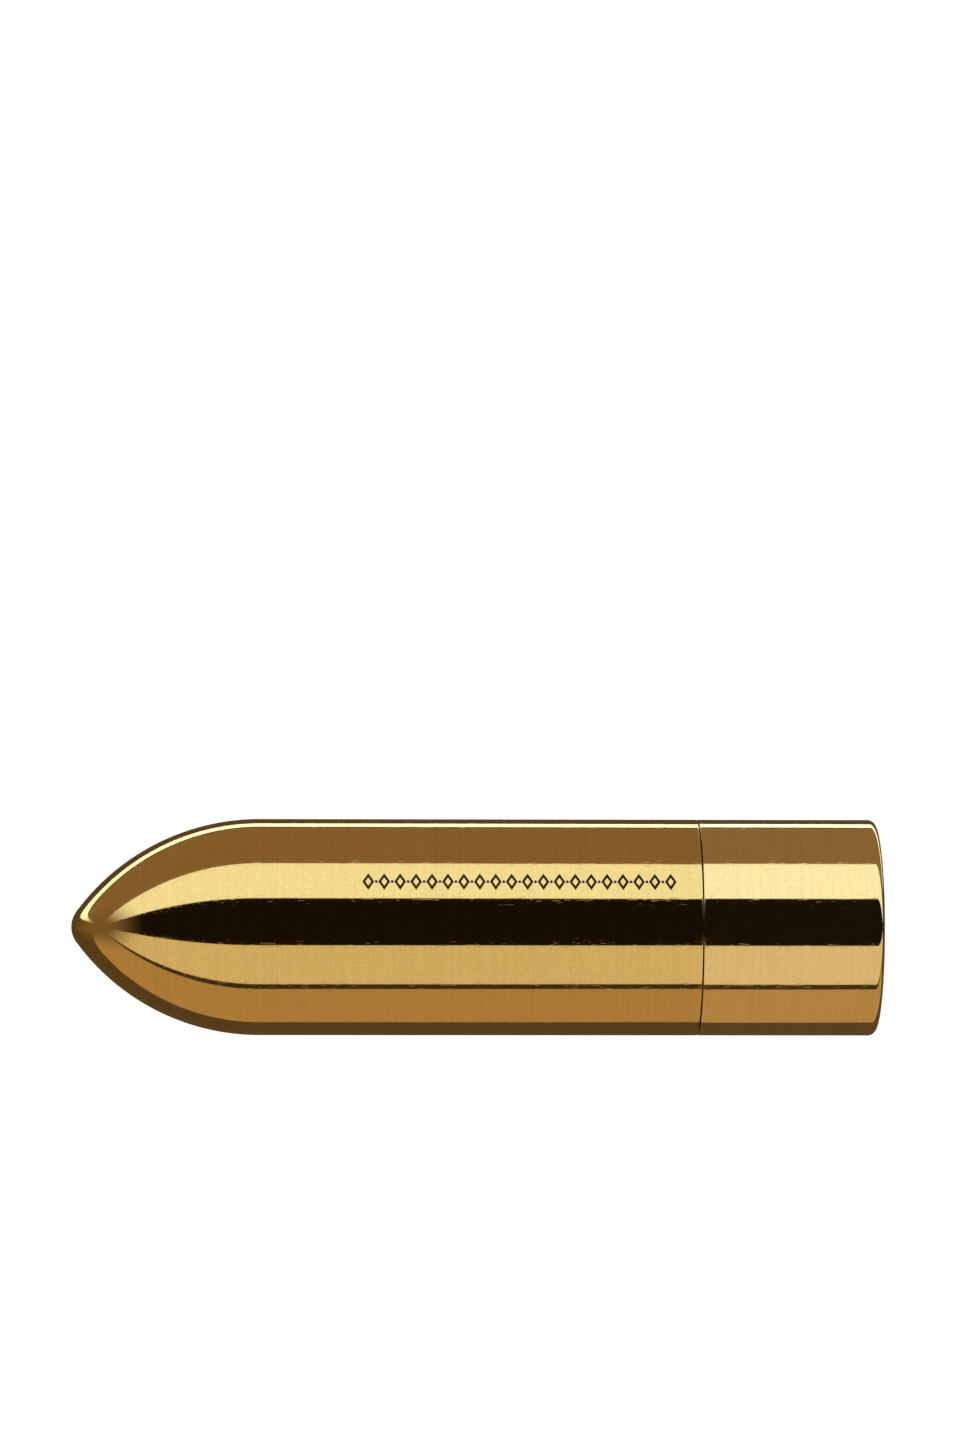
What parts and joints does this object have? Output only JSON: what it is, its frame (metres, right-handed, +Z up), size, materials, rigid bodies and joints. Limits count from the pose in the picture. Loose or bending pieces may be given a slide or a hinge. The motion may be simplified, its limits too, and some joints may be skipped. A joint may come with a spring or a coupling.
{
  "type": "lipstick case",
  "caption": "Bullet-shaped polished gold lipstick case: pull-off pointed cap over a twist-up carrier in a short weighted base.",
  "frame": {"origin": "middle of the base's flat underside, on the case's axis", "axes": "+Z up the case's axis towards the cap's tip; -Y is the side the pomade's slanted face looks to"},
  "size_m": [0.02, 0.02, 0.0745],
  "materials": {
    "polished_gold": "polished, fine lathe lines",
    "satin_gold": "fine satin",
    "black_moulding": "moulded",
    "white_moulding": "moulded",
    "black_rubber": "matt",
    "steel_slug": "turned",
    "label_paper": "blank coated paper",
    "red_wax": "satin wax"
  },
  "bodies": {
    "base": {"base_shell": "polished_gold", "shade_label": "label_paper", "base_weight": "steel_slug", "base_socket": "black_moulding", "collar": "satin_gold", "seal_ring": "black_rubber", "slotted_tube": "black_moulding", "brake_ring": "black_rubber"},
    "swivel": {"cam_sleeve": "white_moulding", "guide_shell": "satin_gold"},
    "carrier": {"cup": "satin_gold", "pomade": "red_wax"},
    "cap": {"cap_shell": "polished_gold", "cap_liner": "black_moulding"}
  },
  "joints": [
    {"name": "swivel_turn", "type": "hinge", "parent": "base", "child": "swivel", "pos_m": [0, 0, 0.0052], "axis": [0, 0, 1], "range_deg": [0, 450]},
    {"name": "pomade_rise", "type": "slide", "parent": "base", "child": "carrier", "axis": [0, 0, 1], "range_m": [0, 0.023]},
    {"name": "cap_pull", "type": "slide", "parent": "base", "child": "cap", "axis": [0, 0, 1], "range_m": [0, 0.06]}
  ],
  "couplings": [
    {"joint": "pomade_rise", "follows": "swivel_turn", "m_per_rad": 0.0029285}
  ]
}
